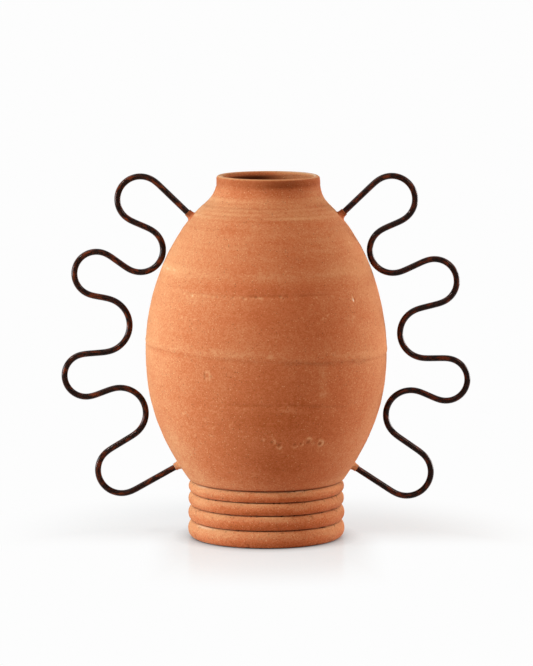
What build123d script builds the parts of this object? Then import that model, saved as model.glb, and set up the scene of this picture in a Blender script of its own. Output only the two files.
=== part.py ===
from build123d import *
import os
from cmath import exp, phase
from math import cos, pi, radians, sin, sqrt

# Terracotta water jar: a thrown body on a foot of stacked coils, with two handles of bent rod.
# Millimetres, +Z up, origin on the ground under the middle of the foot.
# The handles lie in the XZ plane, one each side of the body.

# Foot: clay coils laid in a ring, from the ground up
COIL_HEIGHTS = (17.8, 15.4, 13.8, 12.0)
COIL_RADII = (81.4, 81.2, 80.9, 80.9)
COIL_BULGE = 2.7
COIL_ROUND = 1.8
GROUND_ROUND = 4.5
FOOT_INNER_RADIUS = 64.0
FOOT_HEIGHT = sum(COIL_HEIGHTS)

# Outside of the thrown wall; a pull is the length of a curve's handle, a slope is from the ground
BASE_RADIUS = 79.4
BASE_SLOPE = 55.6
BASE_PULL = 44.8
BELLY_RADIUS = 125.0
BELLY_HEIGHT = 196.0
BELLY_PULL_DOWN = 61.4
BELLY_PULL_UP = 42.5
NECK_RADIUS = 63.85
NECK_HEIGHT = 347.9
NECK_SLOPE = 42.1
SHOULDER_PULL = 60.0
COVE_RADIUS = 34.3
COVE_END_SLOPE = 72.0

# Rolled lip, a full round on the mouth's straight bore
LIP_ROUND = 3.4
LIP_TOP = 376.0
MOUTH_RADIUS = 46.1

# Inside of the wall
WALL = 8.0
FLOOR_THICKNESS = 10.0
FLOOR_RADIUS = 76.5
INNER_PULL = 0.94
INNER_COVE_RADIUS = 20.0
BORE_FOOT = 362.0

# Seam where the bowl and the dome were luted together: height on the axis, and its dip to the right
SEAM_HEIGHT = 198.9
SEAM_DIP = 2.4

# Handles: round bar bent on a row of pegs; a peg is (x, z, radius of the bar's middle line)
ROD_RADIUS = 3.25
LEFT_UPPER_END = (-73.3, 330.3)
LEFT_LOWER_END = (-85.2, 77.7)
LEFT_PEGS = (
    (-129.8, 351.5, 23.8),
    (-130.1, 299.5, 23.4),
    (-175.6, 274.5, 22.8),
    (-169.7, 221.0, 28.2),
    (-187.0, 168.4, 22.2),
    (-151.6, 129.0, 26.5),
    (-150.6, 69.2, 24.4),
)
RIGHT_UPPER_END = (72.5, 331.3)
RIGHT_LOWER_END = (84.8, 77.1)
RIGHT_PEGS = (
    (129.2, 351.7, 24.2),
    (130.8, 299.2, 23.9),
    (173.7, 266.5, 23.2),
    (164.6, 212.7, 26.1),
    (186.4, 164.1, 22.1),
    (150.0, 127.1, 25.8),
    (146.1, 67.1, 25.0),
)

# Sockets: a clay collar drawn up round each rod end, in a wall that the rod enters square
ROD_DEPTH = 5.4
BED_RADIUS = 3.65
BED_CAP = 0.8
COLLAR_LENGTH = 5.8
COLLAR_TIP_RADIUS = 4.05
COLLAR_ROOT = 2.5
UPPER_SKIRT_RADIUS = 7.4
LOWER_SKIRT_RADIUS = 6.4


def along(slope):
    """Unit step up the wall, for a slope in degrees from the ground, leaning outward"""
    return Vector(cos(radians(slope)), sin(radians(slope)))


def inward(slope):
    """Unit step up the wall, leaning in towards the mouth"""
    return Vector(-cos(radians(slope)), sin(radians(slope)))


def cove_point(centre, radius, slope):
    """Point of a cove that has the given slope"""
    return centre - radius * Vector(sin(radians(slope)), cos(radians(slope)))


def lower_curve(base, belly, pull):
    """Wall from the base to the belly"""
    return Bezier(
        base,
        base + along(BASE_SLOPE) * BASE_PULL * pull,
        belly - Vector(0, BELLY_PULL_DOWN * pull),
        belly,
    )


def upper_curve(belly, neck, pull):
    """Wall from the belly to the foot of the neck"""
    return Bezier(
        belly,
        belly + Vector(0, BELLY_PULL_UP * pull),
        neck - inward(NECK_SLOPE) * SHOULDER_PULL * pull,
        neck,
    )


def cove(centre, radius, end_slope):
    """Hollow curve of the neck, from its foot up"""
    middle = (NECK_SLOPE + end_slope) / 2
    stops = [cove_point(centre, radius, slope) for slope in (NECK_SLOPE, middle, end_slope)]
    return ThreePointArc(*stops)


def revolved(outline):
    """Solid of a closed half outline turned about the jar's axis"""
    return revolve(make_face(Plane.XZ * outline), Axis.Z)


def outside_outline():
    """Outer line of the wall, from the edge of the base to the outside of the lip"""
    base = Vector(BASE_RADIUS, FOOT_HEIGHT)
    belly = Vector(BELLY_RADIUS, BELLY_HEIGHT)
    neck = Vector(NECK_RADIUS, NECK_HEIGHT)
    centre = neck + COVE_RADIUS * Vector(sin(radians(NECK_SLOPE)), cos(radians(NECK_SLOPE)))
    cove_end = cove_point(centre, COVE_RADIUS, COVE_END_SLOPE)
    lip_side = Vector(MOUTH_RADIUS + 2 * LIP_ROUND, LIP_TOP - LIP_ROUND)
    return (
        lower_curve(base, belly, 1.0)
        + upper_curve(belly, neck, 1.0)
        + cove(centre, COVE_RADIUS, COVE_END_SLOPE)
        + Line(cove_end, lip_side)
    )


def inside_outline():
    """Inner line of the wall, from the inside of the lip to the edge of the floor"""
    lip_side = Vector(MOUTH_RADIUS, LIP_TOP - LIP_ROUND)
    bore_foot = Vector(MOUTH_RADIUS, BORE_FOOT)
    centre = Vector(MOUTH_RADIUS + INNER_COVE_RADIUS, BORE_FOOT)
    neck = cove_point(centre, INNER_COVE_RADIUS, NECK_SLOPE)
    belly = Vector(BELLY_RADIUS - WALL, BELLY_HEIGHT)
    floor = Vector(FLOOR_RADIUS, FOOT_HEIGHT + FLOOR_THICKNESS)
    return (
        Line(lip_side, bore_foot)
        + cove(centre, INNER_COVE_RADIUS, 90)
        + upper_curve(belly, neck, INNER_PULL)
        + lower_curve(floor, belly, INNER_PULL)
    )


def thrown_wall():
    """The whole pot above the foot, before it is parted into its thrown sections"""
    lip_shoulder = LIP_TOP - LIP_ROUND
    lip = ThreePointArc(
        (MOUTH_RADIUS + 2 * LIP_ROUND, lip_shoulder),
        (MOUTH_RADIUS + LIP_ROUND, LIP_TOP),
        (MOUTH_RADIUS, lip_shoulder),
    )
    floor_top = FOOT_HEIGHT + FLOOR_THICKNESS
    floor = Polyline(
        (FLOOR_RADIUS, floor_top), (0, floor_top), (0, FOOT_HEIGHT), (BASE_RADIUS, FOOT_HEIGHT)
    )
    return revolved(outside_outline() + lip + inside_outline() + floor)


def filled_body():
    """The pot's outer form as a solid, to fit the collars to its wall"""
    lip_shoulder = LIP_TOP - LIP_ROUND
    closing = Polyline(
        (MOUTH_RADIUS + 2 * LIP_ROUND, lip_shoulder),
        (0, lip_shoulder),
        (0, FOOT_HEIGHT),
        (BASE_RADIUS, FOOT_HEIGHT),
    )
    return revolved(outside_outline() + closing)


def coil(radius, low, high, low_round):
    """One ring of the foot, with a bulging face and softened outer edges"""
    edge = radius - COIL_BULGE
    face_line = ThreePointArc((edge, low), (radius, (low + high) / 2), (edge, high))
    back = Polyline((edge, high), (FOOT_INNER_RADIUS, high), (FOOT_INNER_RADIUS, low), (edge, low))
    section = make_face(face_line + back)
    section = fillet(section.vertices().sort_by(Axis.X)[-2:].sort_by(Axis.Y)[-1], COIL_ROUND)
    section = fillet(section.vertices().group_by(Axis.Y)[0].sort_by(Axis.X)[-1], low_round)
    return revolve(Plane.XZ * section, Axis.Z)


def at(point):
    """Place in the handles' plane, from a complex number x + zi"""
    return (point.real, 0, point.imag)


def tangent_run(start, end):
    """Ends of the straight run between two pegs, each (centre, radius, turn); an end has no radius"""
    (centre_1, radius_1, turn_1), (centre_2, radius_2, turn_2) = start, end
    gap = centre_2 - centre_1
    lean = (turn_2 * radius_2 - turn_1 * radius_1) / abs(gap)
    normal = gap / abs(gap) * (lean + 1j * sqrt(1 - lean**2))
    return centre_1 - turn_1 * radius_1 * normal, centre_2 - turn_2 * radius_2 * normal


def rod_path(upper_end, pegs, lower_end, first_turn):
    """Middle line of a bent rod: straight runs joined by an arc round each peg"""
    turns = [first_turn * (-1) ** index for index in range(len(pegs))]
    stops = [(complex(x, z), radius, turn) for (x, z, radius), turn in zip(pegs, turns)]
    stops = [(complex(*upper_end), 0, 1)] + stops + [(complex(*lower_end), 0, 1)]
    runs = [tangent_run(*pair) for pair in zip(stops, stops[1:])]
    edges = [Line(at(runs[0][0]), at(runs[0][1]))]
    for (centre, radius, turn), (_, arrive), (leave, arrive_next) in zip(stops[1:-1], runs, runs[1:]):
        first_angle = phase(arrive - centre)
        swept = (turn * (phase(leave - centre) - first_angle)) % (2 * pi)
        middle = centre + radius * exp(1j * (first_angle + turn * swept / 2))
        edges.append(ThreePointArc(at(arrive), at(middle), at(leave)))
        edges.append(Line(at(leave), at(arrive_next)))
    return Wire(edges)


def rod_frame(path, position):
    """Plane at one end of a rod, facing along the rod away from the wall"""
    sense = 1 if position == 0 else -1
    return Plane(origin=path @ position, x_dir=(0, 1, 0), z_dir=(path % position) * sense)


def collar(skirt_radius):
    """Clay drawn up round a rod end, flaring into the wall and on past its surface"""
    tip = ROD_DEPTH + COLLAR_LENGTH
    root = ROD_DEPTH - COLLAR_ROOT
    root_radius = skirt_radius + COLLAR_ROOT
    flare = Bezier(
        (COLLAR_TIP_RADIUS, tip),
        (COLLAR_TIP_RADIUS, ROD_DEPTH),
        (skirt_radius - COLLAR_ROOT, ROD_DEPTH),
        (root_radius, root),
    )
    return revolved(flare + Polyline((root_radius, root), (0, root), (0, tip), (COLLAR_TIP_RADIUS, tip)))


def bed_hole():
    """Blind hole for a rod end and its bedding, from just past the rod's end to the collar's tip"""
    depth = BED_CAP + ROD_DEPTH + COLLAR_LENGTH
    from_bottom = (Align.CENTER, Align.CENTER, Align.MIN)
    return Pos(0, 0, -BED_CAP) * Cylinder(BED_RADIUS, depth, align=from_bottom)


nodes = {}

# Foot
ground = 0
for index, (height, radius) in enumerate(zip(COIL_HEIGHTS, COIL_RADII)):
    low_round = GROUND_ROUND if index == 0 else COIL_ROUND
    nodes[f"foot_coil_{index + 1}"] = coil(radius, ground, ground + height, low_round)
    ground += height

# Body, parted at the belly seam and at the foot of the neck
wall = thrown_wall()
body_form = filled_body()
seam = Plane.XY.offset(SEAM_HEIGHT).rotated((0, SEAM_DIP, 0))
lower_body = split(wall, seam, keep=Keep.BOTTOM)
above_seam = split(wall, seam, keep=Keep.TOP)
upper_body = split(above_seam, Plane.XY.offset(NECK_HEIGHT), keep=Keep.BOTTOM)
nodes["neck"] = split(above_seam, Plane.XY.offset(NECK_HEIGHT), keep=Keep.TOP)

# Handles, with a collar and bedding at each end
HANDLES = {
    "left": (LEFT_UPPER_END, LEFT_PEGS, LEFT_LOWER_END, 1),
    "right": (RIGHT_UPPER_END, RIGHT_PEGS, RIGHT_LOWER_END, -1),
}
for side, route in HANDLES.items():
    path = rod_path(*route)
    rod = sweep(rod_frame(path, 0) * Circle(ROD_RADIUS), path=path)
    nodes[f"{side}_handle"] = rod
    for level, position, skirt in (("upper", 0, UPPER_SKIRT_RADIUS), ("lower", 1, LOWER_SKIRT_RADIUS)):
        frame = rod_frame(path, position)
        hole = frame * bed_hole()
        nodes[f"{side}_{level}_socket"] = frame * collar(skirt) - body_form - hole
        nodes[f"{side}_{level}_bedding"] = hole - rod
        if level == "upper":
            upper_body -= hole
        else:
            lower_body -= hole

nodes["lower_body"] = lower_body
nodes["upper_body"] = upper_body

os.makedirs("parts", exist_ok=True)
for name, solid in nodes.items():
    export_step(solid, f"parts/{name}.step")
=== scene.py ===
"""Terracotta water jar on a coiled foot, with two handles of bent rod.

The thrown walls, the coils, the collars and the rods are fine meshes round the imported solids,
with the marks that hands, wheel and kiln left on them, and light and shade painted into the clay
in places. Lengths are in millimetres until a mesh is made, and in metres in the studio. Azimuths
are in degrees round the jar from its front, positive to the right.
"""

import cmath
import logging
import math
from dataclasses import dataclass
from enum import Enum
from typing import Any

import bpy
import numpy as np
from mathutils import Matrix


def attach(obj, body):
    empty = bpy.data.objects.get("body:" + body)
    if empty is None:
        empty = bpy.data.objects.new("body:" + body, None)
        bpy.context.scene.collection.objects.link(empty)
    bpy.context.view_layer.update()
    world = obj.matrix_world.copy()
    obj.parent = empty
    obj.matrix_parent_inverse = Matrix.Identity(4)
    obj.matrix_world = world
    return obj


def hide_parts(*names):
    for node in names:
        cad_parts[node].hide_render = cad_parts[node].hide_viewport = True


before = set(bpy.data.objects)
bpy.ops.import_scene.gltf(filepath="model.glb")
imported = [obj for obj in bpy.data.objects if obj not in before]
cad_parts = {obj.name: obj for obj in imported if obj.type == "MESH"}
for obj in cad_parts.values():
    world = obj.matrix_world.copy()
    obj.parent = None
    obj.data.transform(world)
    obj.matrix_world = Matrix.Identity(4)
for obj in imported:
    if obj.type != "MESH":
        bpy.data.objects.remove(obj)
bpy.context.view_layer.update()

Span = tuple[float, float]
Length = np.ndarray | float
Inputs = dict[str | int, Any]
Tree, Socket, Material = bpy.types.NodeTree, bpy.types.NodeSocket, bpy.types.Material

BODY = "root"
METRE = 1000.0
SHARP_ANGLE = math.radians(50)
CURVE_POINTS = 400
WHITE = (1.0, 1.0, 1.0, 1.0)
log = logging.getLogger("terracotta_jar")


class Slot(Enum):
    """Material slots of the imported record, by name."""

    CLAY = "terracotta"
    ROD = "browned_rod"


class Side(Enum):
    """Which handle, with the sign of its X."""

    LEFT = -1
    RIGHT = 1


class Level(Enum):
    """Which end of a handle."""

    UPPER = "upper"
    LOWER = "lower"


class Closing(Enum):
    """How the first and last rows of a sheet are closed."""

    LOOP = "joined to each other"
    POLES = "each drawn to a point"


def linear(hex_colour: str) -> tuple[float, float, float, float]:
    """Turns a colour as written into what a shader works with.

    Args:
        hex_colour: sRGB colour as "#RRGGBB"
    Returns:
        linear red, green and blue, with full opacity
    """
    shares = [int(hex_colour[i : i + 2], 16) / 255 for i in (1, 3, 5)]
    red, green, blue = (s / 12.92 if s <= 0.04045 else ((s + 0.055) / 1.055) ** 2.4 for s in shares)
    return red, green, blue, 1.0


def pattern(size: float) -> float:
    """Texture scale that makes a pattern's cells the given size in millimetres."""
    return METRE / size


def fill(tree: Tree, node: bpy.types.Node, inputs: Inputs) -> None:
    """Sets a node's inputs.

    Args:
        tree: node tree that the node is in
        node: the node
        inputs: by socket name or number, a value to set or an output socket to link
    """
    for key, value in inputs.items():
        if isinstance(value, Socket):
            tree.links.new(value, node.inputs[key])
        else:
            node.inputs[key].default_value = value


def add_node(
    tree: Tree, kind: str, inputs: Inputs | None = None, out: str | int = 0, **settings: Any
) -> Socket:
    """Adds one shader node with its settings, values and links.

    Args:
        tree: node tree that takes the node
        kind: type of node, without its prefix
        inputs: by socket name or number, a value to set or an output socket to link
        out: name or number of the output that is wanted
        settings: properties of the node itself
    Returns:
        that output of the node
    """
    node = tree.nodes.new(f"ShaderNode{kind}")
    for name, value in settings.items():
        setattr(node, name, value)
    fill(tree, node, inputs or {})
    return node.outputs[out]


def tinted(tree: Tree, base: str, layers: tuple[tuple[Socket, Span, str], ...]) -> Socket:
    """Lays tones over a base colour.

    Args:
        tree: node tree that takes the nodes
        base: the colour underneath
        layers: what steers each tone, the values at which it starts and is full, and the tone
    Returns:
        the mixed colour
    """
    colour = linear(base)
    for layer, (start, full), tone in layers:
        share = add_node(tree, "MapRange", {"Value": layer, "From Min": start, "From Max": full})
        colour = add_node(tree, "Mix", {0: share, 6: colour, 7: linear(tone)}, out=2, data_type="RGBA")
    return colour


def blank_finish(name: str) -> Material:
    """Starts a material with a node tree of its own.

    Args:
        name: its name
    Returns:
        the material, not yet dressed
    """
    finish = bpy.data.materials.new(name)
    finish.use_nodes = True
    return finish


def smooth_step(low: float, high: float, value: np.ndarray) -> np.ndarray:
    """Rises smoothly from 0 at low to 1 at high."""
    share = np.clip((value - low) / (high - low), 0, 1)
    return share * share * (3 - 2 * share)


def bell(offset: np.ndarray, half_width: float) -> np.ndarray:
    """Soft hump of height 1 about zero."""
    return np.exp(-((offset / half_width) ** 2))


def turn_from(azimuth: np.ndarray, centre: float) -> np.ndarray:
    """Degrees round the jar from an azimuth, from -180 to 180."""
    return (azimuth - centre + 180) % 360 - 180


def ring_places(azimuth: np.ndarray, radius: Length, height: Length) -> np.ndarray:
    """Points about the jar's axis, with a last axis of three."""
    angle = np.radians(azimuth)
    return np.stack(np.broadcast_arrays(radius * np.sin(angle), -radius * np.cos(angle), height), -1)


@dataclass
class HandNoise:
    """Smooth seeded unevenness from -1 to 1, in lumps of one size along X, Y and Z."""

    seed: int
    cell: tuple[float, float, float]
    shift: float = 0.0
    lattice_size: int = 48

    def __post_init__(self) -> None:
        """Fills the lattice that the unevenness is drawn between."""
        self.lattice = np.random.default_rng(self.seed).uniform(-1, 1, (self.lattice_size,) * 3)

    def at(self, places: np.ndarray) -> np.ndarray:
        """Unevenness at some places.

        Args:
            places: points in millimetres, last axis of three
        Returns:
            one value for each place
        """
        scaled = (places + self.shift) / np.array(self.cell)
        corner = np.floor(scaled).astype(int)
        part = scaled - corner
        part = part * part * (3 - 2 * part)
        total = np.zeros(places.shape[:-1])
        for step in np.ndindex(2, 2, 2):
            index = (corner + step) % self.lattice_size
            weight = np.where(np.array(step), part, 1 - part).prod(-1)
            total += weight * self.lattice[index[..., 0], index[..., 1], index[..., 2]]
        return total


@dataclass
class Sheet:
    """Grid of surface points with what the finish needs to know at each of them.

    The rows follow a section and the columns go round it.
    """

    places: np.ndarray
    notes: dict[str, np.ndarray]

    def joined(self, *others: "Sheet") -> "Sheet":
        """Stacks the rows of other sheets on this one's.

        Args:
            others: sheets with as many columns
        Returns:
            one sheet with all the rows
        """
        sheets = (self, *others)
        notes = {name: np.concatenate([s.notes[name] for s in sheets]) for name in self.notes}
        return Sheet(np.concatenate([s.places for s in sheets]), notes)


def unrolled(places: np.ndarray, closing: Closing) -> np.ndarray:
    """Map of a closed sheet, round the columns one way and along the rows the other.

    Args:
        places: the sheet's points
        closing: what becomes of its first and last rows
    Returns:
        place on the map of each corner of each face
    """
    steps = np.linalg.norm(np.diff(places, axis=0, append=places[:1]), axis=-1).mean(1)
    steps = steps if closing is Closing.LOOP else steps[:-1]
    climb = np.concatenate([[0], np.cumsum(steps)]) / steps.sum()
    turn = np.linspace(0, 1, places.shape[1] + 1)
    low, start = np.meshgrid(climb[:-1], turn[:-1], indexing="ij")
    high, end = np.meshgrid(climb[1:], turn[1:], indexing="ij")
    corners = ((start, low), (end, low), (end, high), (start, high))
    chart = np.stack([np.stack(corner, -1) for corner in corners], 2).reshape(-1, 2)
    if closing is Closing.POLES:
        fans = np.repeat(turn[:-1], 3)[:, None]
        chart = np.concatenate([chart, np.hstack([fans, 0 * fans]), np.hstack([fans, 0 * fans + 1])])
    return chart


def closed_mesh(name: str, sheet: Sheet, closing: Closing) -> bpy.types.Object:
    """Makes a closed piece from a sheet whose columns go all the way round.

    Args:
        name: name of the piece
        sheet: its surface, in millimetres
        closing: what becomes of the first and last rows
    Returns:
        the piece, in metres, with its notes as point attributes and its rows unrolled as a map
    """
    rows, columns = sheet.places.shape[:2]
    points = sheet.places.reshape(-1, 3)
    index = np.arange(rows * columns).reshape(rows, columns)
    looped = closing is Closing.LOOP
    below, above = (index, np.roll(index, -1, 0)) if looped else (index[:-1], index[1:])
    quads = np.stack([below, np.roll(below, -1, 1), np.roll(above, -1, 1), above], -1)
    faces = quads.reshape(-1, 4).tolist()
    notes = {key: value.reshape(len(points), -1) for key, value in sheet.notes.items()}
    if not looped:
        first, last = len(points), len(points) + 1
        points = np.concatenate([points, sheet.places[:1].mean(1), sheet.places[-1:].mean(1)])
        notes = {key: np.concatenate([value, value[:1], value[-1:]]) for key, value in notes.items()}
        start, end = index[0], index[-1]
        faces += [[first, b, a] for a, b in zip(start.tolist(), np.roll(start, -1).tolist())]
        faces += [[a, b, last] for a, b in zip(end.tolist(), np.roll(end, -1).tolist())]
    mesh = bpy.data.meshes.new(name)
    mesh.from_pydata((points / METRE).tolist(), [], faces)
    chart = unrolled(sheet.places, closing).astype(np.float32)
    mesh.uv_layers.new(name="OFBake").data.foreach_set("uv", chart.ravel())
    for key, value in notes.items():
        kind, prop = ("FLOAT", "value") if value.shape[1] == 1 else ("FLOAT_VECTOR", "vector")
        mesh.attributes.new(key, kind, "POINT").data.foreach_set(prop, value.astype(np.float32).ravel())
    mesh.shade_smooth()
    mesh.set_sharp_from_angle(angle=SHARP_ANGLE)
    piece = bpy.data.objects.new(name, mesh)
    bpy.context.scene.collection.objects.link(piece)
    return piece


def dress(piece: bpy.types.Object, finish: Material, node: str) -> None:
    """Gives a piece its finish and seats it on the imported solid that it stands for.

    Args:
        piece: the piece
        finish: its material
        node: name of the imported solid
    """
    piece.data.materials.append(finish)
    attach(piece, BODY)
    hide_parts(node)
    log.info("%s stands for %s with %d faces", piece.name, node, len(piece.data.polygons))


@dataclass(frozen=True)
class Speck:
    """Grains or pits scattered through a skin, sizes in millimetres.

    Each cell of the pattern has its own luck: under the rarest it holds nothing, and above that the
    luckier the cell, the wider its dot, up to the reach as a share of the spacing.
    """

    spacing: float
    shift: float
    rarest: float
    reach: float
    edge: float = 0.10

    def mask(self, tree: Tree, place: Socket) -> Socket:
        """Draws the dots.

        Args:
            tree: node tree that takes the nodes
            place: where on the piece a point is
        Returns:
            pattern that is 1 on a dot and 0 beside it
        """
        moved = add_node(tree, "Mapping", {"Vector": place, "Location": (self.shift,) * 3})
        gap = add_node(tree, "TexVoronoi", {"Vector": moved, "Scale": pattern(self.spacing)}, out="Distance")
        luck = add_node(tree, "SeparateColor", {0: gap.node.outputs["Color"]})
        sizes = {"Value": luck, "From Min": self.rarest, "From Max": 1.0, "To Min": 0.0, "To Max": self.reach}
        width = add_node(tree, "MapRange", sizes)
        inside = add_node(tree, "Math", {0: width, 1: gap}, operation="SUBTRACT")
        return add_node(tree, "MapRange", {"Value": inside, "From Min": 0.0, "From Max": self.edge})


@dataclass(frozen=True)
class Terracotta:
    """Unglazed low-fired earthenware, thrown from sandy clay and wiped by hand.

    The eye sees a dead matt orange, never one flat colour: each grain is a little paler or deeper
    than the next, dry slip has bloomed pale in bands, and pits and scratches are deep brown. Its
    dusty skin lightens the edges of the form. Its palest tones also carry painted light, and its
    darkest tone painted shade, where the points' notes ask for them.
    """

    dark: str = "#AC5426"
    deep: str = "#C56C43"
    pale: str = "#DFA675"
    chalk_and_highlight: str = "#F3DCC8"
    soil_and_shade: str = "#502512"
    dust_and_light: str = "#FFF0DC"
    # The clay's own grains, of a few tenths of a millimetre, are too fine to show and are drawn coarser
    cloud_size: float = 22.0
    cloud_contrast: float = 0.28
    grain_size: float = 1.15
    grain_contrast: float = 0.34
    fine_size: float = 0.8
    fine_contrast: float = 0.62
    grit_size: float = 4.4
    grit_flatness: float = 2.2
    grit_contrast: float = 0.24
    sand: Speck = Speck(2.0, 0.0, 0.5, 0.32)
    sand_contrast: float = 0.85
    pits: Speck = Speck(2.2, 0.37, 0.46, 0.28)
    pit_contrast: float = 0.56
    wiped_from: Span = (190.0, 260.0)
    coarseness: float = 1.15
    deepened: Span = (-0.5, 0.0)
    paled: Span = (0.0, 1.0)
    limed_and_lit: Span = (0.7, 1.3)
    soiled_and_shaded: Span = (0.0, 1.0)
    skin_depth: float = 0.26
    skin_strength: float = 0.9
    fine_relief: float = 0.7
    pit_relief: float = -2.0
    roughness: Span = (0.82, 0.98)
    gloss: float = 0.06
    sheen: float = 0.06
    sheen_roughness: float = 0.42

    def material(self) -> Material:
        """Builds the finish; the points' "bloom_and_light" and "soil_and_shade" notes steer its colour.

        Returns:
            the material
        """
        finish = blank_finish("matt_terracotta")
        tree = finish.node_tree
        place = add_node(tree, "TexCoord", out="Object")
        bloom_and_light = add_node(tree, "Attribute", out="Fac", attribute_name="bloom_and_light")
        soil_and_shade = add_node(tree, "Attribute", out="Fac", attribute_name="soil_and_shade")
        wiped = add_node(tree, "Mapping", {"Vector": place, "Scale": (1, 1, self.grit_flatness)})
        clouds, grit, fine = (
            add_node(tree, "TexNoise", {"Vector": spot, "Scale": pattern(size), "Detail": detail})
            for spot, size, detail in (
                (place, self.cloud_size, 4.0), (wiped, self.grit_size, 2.0), (place, self.fine_size, 2.0),
            )
        )
        grain = {"Vector": place, "Scale": pattern(self.grain_size)}
        grain = add_node(tree, "TexVoronoi", grain, out="Color")
        grain = add_node(tree, "SeparateColor", {0: grain})
        sand, pits = self.sand.mask(tree, place), self.pits.mask(tree, place)

        layers = (
            (clouds, self.cloud_contrast), (grit, self.grit_contrast),
            (fine, self.fine_contrast), (grain, self.grain_contrast),
        )
        paleness = -sum(contrast for _, contrast in layers) / 2
        for layer, contrast in (*layers, (sand, self.sand_contrast)):
            paleness = add_node(tree, "Math", {0: layer, 1: contrast, 2: paleness}, operation="MULTIPLY_ADD")
        height = add_node(tree, "SeparateXYZ", {0: place}, out="Z")
        low, high = (edge / METRE for edge in self.wiped_from)
        coarse = add_node(tree, "MapRange", {
            "Value": height, "From Min": low, "From Max": high, "To Min": self.coarseness, "To Max": 1.0,
        })
        paleness = add_node(tree, "Math", {0: paleness, 1: coarse, 2: bloom_and_light}, operation="MULTIPLY_ADD")
        # The notes bring in painted light and shade here, besides the clay's own paleness and dirt
        pitted = add_node(tree, "Math", {0: pits, 1: self.pit_contrast, 2: soil_and_shade}, operation="MULTIPLY_ADD")
        colour = tinted(tree, self.dark, (
            (paleness, self.deepened, self.deep), (paleness, self.paled, self.pale),
            (bloom_and_light, self.limed_and_lit, self.chalk_and_highlight), (pitted, self.soiled_and_shaded, self.soil_and_shade),
        ))

        skin = add_node(tree, "Math", {0: fine, 1: self.fine_relief, 2: sand}, operation="MULTIPLY_ADD")
        skin = add_node(tree, "Math", {0: pits, 1: self.pit_relief, 2: skin}, operation="MULTIPLY_ADD")
        relief = {"Height": skin, "Distance": self.skin_depth / METRE, "Strength": self.skin_strength}
        smooth, rough = self.roughness
        fill(tree, tree.nodes["Principled BSDF"], {
            "Base Color": colour,
            "Roughness": add_node(tree, "MapRange", {"Value": fine, "To Min": smooth, "To Max": rough}),
            "Normal": add_node(tree, "Bump", relief),
            "Specular IOR Level": self.gloss,
            "Sheen Weight": self.sheen,
            "Sheen Tint": linear(self.dust_and_light),
            "Sheen Roughness": self.sheen_roughness,
        })
        return finish


@dataclass(frozen=True)
class BrownedSteel:
    """Mild steel bar, rust-browned and sealed under clear lacquer.

    The eye sees a brown so dark that it reads black, broken by rust-red streaks drawn out along the
    bar, under a gloss that catches the soft boxes in thin pale lines.
    """

    black: str = "#060201"
    brown: str = "#34160A"
    rust: str = "#64280D"
    gloss: str = "#38200F"
    # Rust specks are finer than the flecks, which are as coarse as they need to be to show
    cloud_size: float = 3.4
    cloud_stretch: float = 2.6
    fleck_size: float = 1.2
    fleck_depth: float = 0.0022
    fleck_strength: float = 0.6
    browned: Span = (0.35, 0.70)
    rusted: Span = (0.50, 0.68)
    roughness: Span = (0.10, 0.26)
    lacquer: float = 0.13
    lacquer_roughness: float = 0.12

    def material(self) -> Material:
        """Builds the finish; the points' "along" note gives the place round and along the bar.

        Returns:
            the material
        """
        finish = blank_finish("browned_lacquered_steel")
        tree = finish.node_tree
        along = add_node(tree, "Attribute", out="Vector", attribute_name="along")
        drawn = add_node(tree, "Mapping", {"Vector": along, "Scale": (1, 1, 1 / self.cloud_stretch)})
        clouds, flecks = (
            add_node(tree, "TexNoise", {"Vector": drawn, "Scale": pattern(size), "Detail": detail})
            for size, detail in ((self.cloud_size, 2.0), (self.fleck_size, 1.0))
        )
        relief = {"Height": flecks, "Distance": self.fleck_depth / METRE, "Strength": self.fleck_strength}
        smooth, rough = self.roughness
        tones = ((flecks, self.browned, self.brown), (clouds, self.rusted, self.rust))
        fill(tree, tree.nodes["Principled BSDF"], {
            "Base Color": tinted(tree, self.black, tones),
            "Roughness": add_node(tree, "MapRange", {"Value": flecks, "To Min": smooth, "To Max": rough}),
            "Normal": add_node(tree, "Bump", relief),
            "Specular Tint": linear(self.gloss),
            "Coat Weight": self.lacquer,
            "Coat Roughness": self.lacquer_roughness,
        })
        return finish


@dataclass(frozen=True)
class BeddingCement:
    """Fine tinted cement that holds a rod in its hole; matt, with sand that shows at its edge."""

    paste: str = "#A9714F"
    sand: str = "#D3A683"
    grain_size: float = 0.6
    grain_depth: float = 0.1
    roughness: float = 0.9

    def material(self) -> Material:
        """Builds the finish.

        Returns:
            the material
        """
        finish = blank_finish("tinted_bedding_cement")
        tree = finish.node_tree
        place = add_node(tree, "TexCoord", out="Object")
        grain = {"Vector": place, "Scale": pattern(self.grain_size), "Detail": 3.0}
        grain = add_node(tree, "TexNoise", grain)
        fill(tree, tree.nodes["Principled BSDF"], {
            "Base Color": tinted(tree, self.paste, ((grain, (0.0, 1.0), self.sand),)),
            "Normal": add_node(tree, "Bump", {"Height": grain, "Distance": self.grain_depth / METRE}),
            "Roughness": self.roughness,
        })
        return finish


def bezier(start: np.ndarray, pull_1: np.ndarray, pull_2: np.ndarray, end: np.ndarray) -> np.ndarray:
    """Fine points of a cubic curve.

    Args:
        start: where it starts
        pull_1: handle of its start
        pull_2: handle of its end
        end: where it ends
    Returns:
        the points, one a row
    """
    share = np.linspace(0, 1, CURVE_POINTS)[:, None]
    rest = 1 - share
    return rest**3 * start + 3 * rest**2 * share * pull_1 + 3 * rest * share**2 * pull_2 + share**3 * end


def slope_step(slope: float) -> np.ndarray:
    """Unit step up a wall that leans outward by a slope from the ground."""
    return np.array((math.cos(math.radians(slope)), math.sin(math.radians(slope))))


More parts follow.
